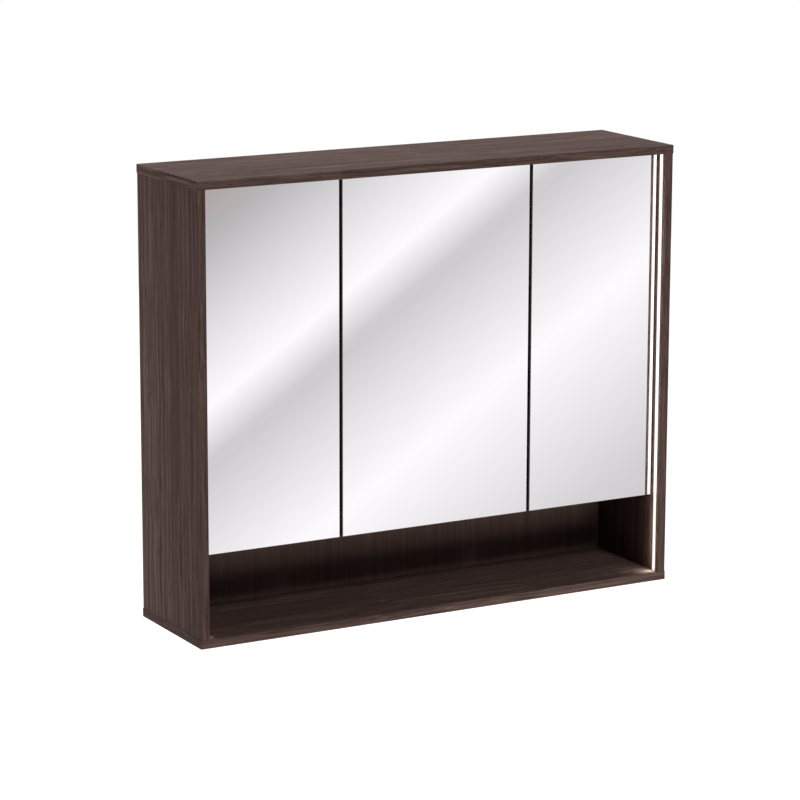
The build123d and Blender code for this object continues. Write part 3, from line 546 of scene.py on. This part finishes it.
# Shelf pins: turned steel with a thin collar, nickel plated.
# They are pushed into blind holes in the sides and partitions as far as the collar.
pin, pin_depth, pin_reach = 0.0025, 0.0055, 0.0080
pin_start, pin_bevel = 0.0021, 0.0005
pin_end, pin_round = 0.0019, 0.0006
collar, collar_bevel, collar_thickness = 0.0038, 0.0003, 0.0010
shelf_pin = turned("shelf_pin", [
    (0, -pin_depth), (pin_start, -pin_depth), (pin, pin_bevel - pin_depth), (pin, 0),
    (collar - collar_bevel, 0), (collar, collar_bevel), (collar, collar_thickness - collar_bevel),
    (collar - collar_bevel, collar_thickness), (pin, collar_thickness),
    (pin, pin_reach - pin_round), (pin_end, pin_reach), (0, pin_reach),
], 32)
bays = {
    "left": (left_inner_face, left_partition_low.x),
    "middle": (left_partition_high.x, right_partition_low.x),
    "right": (right_partition_high.x, right_inner_face),
}
pin_from_shelf_edge, pin_play = 0.025, 0.00005
shelf_low, shelf_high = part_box("left_lower_shelf")
shelf_levels = (shelf_low.z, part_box("left_upper_shelf")[0].z)
set_pieces("collared_shelf_pins", shelf_pin, [
    ((edge, y, level - pin - pin_play), (hand, 0, 0))
    for bay in bays.values() for edge, hand in zip(bay, (1, -1)) for level in shelf_levels
    for y in (shelf_low.y + pin_from_shelf_edge, shelf_high.y - pin_from_shelf_edge)
], nickel_plate, "carcass", "shelf_pins")

# Shelves: clear float glass, 5 mm thick, two in each bay.
# Their edges are polished and bevelled, and they lie loose on the pins.
shelf_glass, tree, shader = new_finish("shelf_glass", transmission_weight=1.0, ior=1.52)
place = put(tree, "ShaderNodeTexCoord")
film = noise(tree, stretched(tree, place.outputs["Object"], (9, 9, 9)), detail=4.0)
clear = ramp(tree, film, [(0.3, (0.90, 0.97, 0.94)), (0.7, (0.95, 0.99, 0.97))])
tree.links.new(clear, shader.inputs["Base Color"])
tree.links.new(ramp(tree, film, [(0.4, 0.0), (0.8, 0.05)]), shader.inputs["Roughness"])
dress(shelf_glass, *(f"{bay}_{level}_shelf" for bay in bays for level in ("lower", "upper")))

# Doors: the same oak board with a silvered mirror glued over its whole front.
# The glass has ground edges with a narrow bevel, sealed in brown. Each door hangs on two cup hinges,
# whose cups are let into its back and screwed there.
mirror, tree, shader = new_finish("mirror", specular_ior_level=0.2)
place = put(tree, "ShaderNodeTexCoord")
facing = put(tree, "ShaderNodeSeparateXYZ", {0: place.outputs["Normal"]})
is_front = maths(tree, "LESS_THAN", facing.outputs["Y"], -0.9)
breath = noise(tree, stretched(tree, place.outputs["Object"], (7, 7, 7)), detail=5.0, roughness=0.6)
silver = ramp(tree, breath, [(0.3, (0.932, 0.928, 0.932)), (0.7, (0.942, 0.938, 0.942))])
ground = ramp(tree, noise(tree, stretched(tree, place.outputs["Object"], (900, 900, 60))), [
    (0.3, (0.150, 0.104, 0.086)), (0.7, (0.240, 0.172, 0.146)),
])
glass_colour = put(tree, "ShaderNodeMix", {"Factor": is_front, 6: ground, 7: silver}, data_type="RGBA")
tree.links.new(glass_colour.outputs[2], shader.inputs["Base Color"])
tree.links.new(is_front, shader.inputs["Metallic"])
ground_rough, silver_rough = 0.60, maths(tree, "MULTIPLY", breath, 0.02)
polish = put(tree, "ShaderNodeMix", {"Factor": is_front, 2: ground_rough, 3: silver_rough},
             data_type="FLOAT")
tree.links.new(polish.outputs[0], shader.inputs["Roughness"])

pivot_from_face, cup_flange, cup_screw_offset = 0.0208, 0.001, 0.018
for door, (face, hand) in hinge_faces.items():
    dress(upright_oak, f"{door}_door_board")
    dress(mirror, f"{door}_mirror")
    dress(nickel_plate, f"{door}_hinge_cups", f"{door}_hinge_pins")
    set_pieces(f"{door}_cup_cross_screws", small_screw, [
        ((face + hand * pivot_from_face, door_high.y + cup_flange, z + dz), (0, 1, 0))
        for z in hinge_heights for dz in (-cup_screw_offset, cup_screw_offset)
    ], nickel_plate, f"{door}_door", f"{door}_cup_screws")

# Bumpers: small domes of clear soft plastic, on which the doors close without a knock.
# They are stuck on the front edges of the partitions, behind the free edges of the doors.
clear_soft = moulded("clear_soft", (0.86, 0.88, 0.88), roughness=0.22, transmission_weight=0.7, ior=1.45)
bumper_radius, bumper_height = 0.0020, 0.0013
soft_dot = turned("soft_dot", [
    (0, 0), (bumper_radius, 0), (bumper_radius * 0.98, bumper_height * 0.35),
    (bumper_radius * 0.85, bumper_height * 0.72), (bumper_radius * 0.55, bumper_height * 0.95),
    (0, bumper_height),
])
bumper_from_end = 0.060
bumper_places_x = (
    (left_partition_low.x + door_high.x) / 2,
    right_partition_low.x + bumper_radius,
    right_partition_high.x - bumper_radius,
)
set_pieces("domed_bumpers", soft_dot, [
    ((x, left_partition_low.y, z), (0, -1, 0)) for x in bumper_places_x
    for z in (left_partition_low.z + bumper_from_end, door_high.z - bumper_from_end)
], clear_soft, "carcass", "door_bumpers")

# Floor: a plain pale sheet far below the cabinet, which hangs on a wall that isn't shown.
# It is matt, open to a view from below, and mirrors don't show it.
floor_mesh = bpy.data.meshes.new("floor")
floor_half, floor_drop = 9.0, 1.3
floor_z = cad_box[0].z - floor_drop
floor_mesh.from_pydata([
    (-floor_half, -floor_half, floor_z), (floor_half, -floor_half, floor_z),
    (floor_half, floor_half, floor_z), (-floor_half, floor_half, floor_z),
], [], [(0, 1, 2, 3)])
floor = bpy.data.objects.new("floor", floor_mesh)
bpy.context.scene.collection.objects.link(floor)
floor.visible_glossy = False
pale, tree, shader = new_finish("pale_floor", roughness=0.9, emission_strength=1.0)
rays = put(tree, "ShaderNodeLightPath")
mottle = noise(tree, put(tree, "ShaderNodeTexCoord").outputs["Object"], scale=3.0, detail=4.0)
tree.links.new(ramp(tree, mottle, [(0.3, 0.78), (0.7, 0.82)]), shader.inputs["Base Color"])
seen = maths(tree, "MAXIMUM", rays.outputs["Is Camera Ray"], rays.outputs["Is Transmission Ray"])
tree.links.new(ramp(tree, seen, [(0.0, 0.0), (1.0, 0.85)]), shader.inputs["Emission Color"])
under = put(tree, "ShaderNodeMixShader", {
    0: put(tree, "ShaderNodeNewGeometry").outputs["Backfacing"],
    1: shader.outputs[0], 2: put(tree, "ShaderNodeBsdfTransparent").outputs[0],
})
tree.links.new(under.outputs[0], tree.nodes["Material Output"].inputs["Surface"])
floor_mesh.materials.append(pale)

# Camera: a long lens at the photograph's viewing angle, to the left of the cabinet and a little above it.
# Its place and angles were fitted to the corners of the box.
camera_data = bpy.data.cameras.new("camera")
camera_data.sensor_width = 36.0
camera_data.lens = 145.97
camera = bpy.data.objects.new("camera", camera_data)
bpy.context.scene.collection.objects.link(camera)
turn, tilt, roll = (math.radians(a) for a in (-29.222, 12.267, 0.148))
camera.location = (-2.3411, -4.2541, 0.7444)
camera.rotation_euler = (
    Matrix.Rotation(turn, 3, "Z")
    @ Matrix.Rotation(math.pi / 2 - tilt, 3, "X")
    @ Matrix.Rotation(roll, 3, "Z")
).to_euler()
camera_data.clip_start, camera_data.clip_end = 0.1, 60.0
bpy.context.scene.camera = camera

# Surroundings: white where they are seen, and dim, paler above, where they only light the cabinet.
# The mirrors face a pale screen with soft slanting bands, sharper in the middle and broad further out.
# The bands slant across the mirrors as seen from the camera's place.
flip = Matrix.Diagonal((1, -1, 1))
aim = camera.rotation_euler.to_matrix()
band_slant = 0.84
band_run = flip @ (band_slant * aim.col[0] - aim.col[1])
sky = bpy.data.worlds.new("studio")
sky.use_nodes = True
bpy.context.scene.world = sky
tree = sky.node_tree
direction = put(tree, "ShaderNodeTexCoord").outputs["Generated"]
slant = put(tree, "ShaderNodeVectorMath", {0: direction, 1: band_run}, operation="DOT_PRODUCT")
along = slant.outputs["Value"]
near_reach, far_reach = 0.5, 1.4
near_part = put(tree, "ShaderNodeMapRange", {"Value": along, 1: -near_reach, 2: near_reach}).outputs[0]
# Two bright bands on a dim grey, one with a sharp edge and one that fades, and a brown line before them.
# The screen turns paler towards both ends. Each point is a place across the screen and its grey.
dim, between, bright = 0.50, 0.64, 1.06
pale_ends = [(0.00, 0.90), (0.20, 0.78), (0.33, 0.52), (0.76, 0.82), (1.00, 0.95)]
sharp_band = [(0.40, dim), (0.453, bright), (0.47, between)]
fading_band = [(0.52, bright), (0.58, 0.70), (0.62, 0.60)]
brown_line = (0.385, (0.45, 0.40, 0.37))
less_green = 0.974
near_bands = ramp(tree, near_part, sorted([brown_line] + [
    (reached, (grey, less_green * grey, grey)) for reached, grey in pale_ends + sharp_band + fading_band
]))
far_part = put(tree, "ShaderNodeMapRange", {"Value": along, 1: -far_reach, 2: far_reach}).outputs[0]
far_bands = ramp(tree, far_part, [
    (0.04, 0.88), (0.10, 1.05), (0.14, 0.80), (0.20, 1.07), (0.235, 0.78), (0.26, 1.10), (0.295, 0.88),
    (0.32, 1.0), (0.68, 1.0), (0.73, 0.78), (0.78, 1.04), (0.84, 0.80), (0.90, 1.02), (0.96, 0.84),
])
screen = put(tree, "ShaderNodeMix", {"Factor": 1.0, 6: near_bands, 7: far_bands},
             data_type="RGBA", blend_type="MULTIPLY").outputs[2]
rays = put(tree, "ShaderNodeLightPath")
bands = put(tree, "ShaderNodeBackground", {"Color": screen, "Strength": 1.0})
white = put(tree, "ShaderNodeBackground", {"Color": (1, 1, 1, 1), "Strength": 1.0})
height = put(tree, "ShaderNodeSeparateXYZ", {0: direction}).outputs["Z"]
dome = put(tree, "ShaderNodeBackground", {
    "Color": ramp(tree, height, [(0.0, 0.06), (0.45, 0.15), (0.85, 0.36)]), "Strength": 1.0,
})
unseen = put(tree, "ShaderNodeMixShader", {
    0: rays.outputs["Is Glossy Ray"], 1: dome.outputs[0], 2: bands.outputs[0],
})
shown = put(tree, "ShaderNodeMixShader", {
    0: maths(tree, "MAXIMUM", rays.outputs["Is Camera Ray"], rays.outputs["Is Transmission Ray"]),
    1: unseen.outputs[0], 2: white.outputs[0],
})
tree.links.new(shown.outputs[0], tree.nodes["World Output"].inputs["Surface"])

# Studio lamps: five soft square lamps above, beside, before and below the cabinet, all aimed at its middle.
# Neither the camera nor a mirror sees them. Each has its place, its width and its watts.
lamps = {
    "top_lamp": ((-0.2, 0.8, 1.7), 0.8, 43.0),
    "left_lamp": ((-1.5, 0.9, -0.25), 0.7, 27.0),
    "right_lamp": ((2.2, 0.6, -0.2), 0.9, 31.0),
    "front_lamp": ((0.5, -4.0, 2.7), 0.7, 154.0),
    "low_lamp": ((0.5, -2.45, -1.45), 0.9, 44.0),
}
lamp_aim = Vector((0, -0.1, -0.26))


def hang_lamp(name, light, place, direction):
    """A lamp that shines in a direction and shows neither to the camera nor in a mirror."""
    lamp = bpy.data.objects.new(name, light)
    bpy.context.scene.collection.objects.link(lamp)
    lamp.location = place
    lamp.rotation_euler = Vector(direction).to_track_quat("-Z", "Y").to_euler()
    lamp.visible_camera = False
    lamp.visible_glossy = False
    return lamp


for name, (place, width, watts) in lamps.items():
    light = bpy.data.lights.new(name, "AREA")
    light.size = width
    light.energy = watts
    hang_lamp(name, light, place, lamp_aim - Vector(place))

# Glow of the strips: the warm light that each lit cover throws on the side panel round it,
# and the paler light of the right one's foot and head on the bottom and top board.
# Narrow lamps along the cover give it, and they light those boards alone.
glow_from_panel, glow_off_ends, glow_width, end_run = 0.012, 0.002, 0.002, 0.016
warm_white, pale_white = (1.0, 0.90, 0.78), (0.90, 0.97, 0.94)
strip_watts, end_watts = 0.18, 0.048
for side, hand in (("left", -1), ("right", 1)):
    low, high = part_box(f"{side}_light_cover")
    inner = high.x if side == "left" else low.x
    foot, head = low.z + glow_off_ends, high.z - glow_off_ends
    all_boards = (f"{side}_side_panel", "top_board", "bottom_board")
    glows = {"strip": (foot, head, glow_from_panel, hand, strip_watts, warm_white, all_boards)}
    at_end = (glow_off_ends, -hand, end_watts, pale_white)
    if side == "right":
        glows["foot"] = (foot, foot + end_run, *at_end, ("bottom_board",))
        glows["head"] = (head - end_run, head, *at_end, ("top_board",))
    for stretch, (start, end, off_panel, faces, watts, colour, boards) in glows.items():
        name = f"{side}_{stretch}_glow"
        light = bpy.data.lights.new(name, "AREA")
        light.shape = "RECTANGLE"
        light.size, light.size_y = glow_width, end - start
        light.energy = watts
        light.color = colour
        middle = (inner - hand * off_panel, (low.y + high.y) / 2, (start + end) / 2)
        lamp = hang_lamp(name, light, middle, (faces, 0, 0))
        lit_boards = bpy.data.collections.new(f"{name}_boards")
        for board in boards:
            lit_boards.objects.link(nodes[board])
        lamp.light_linking.receiver_collection = lit_boards

# Plain colours in the picture.
bpy.context.scene.view_settings.view_transform = "Standard"
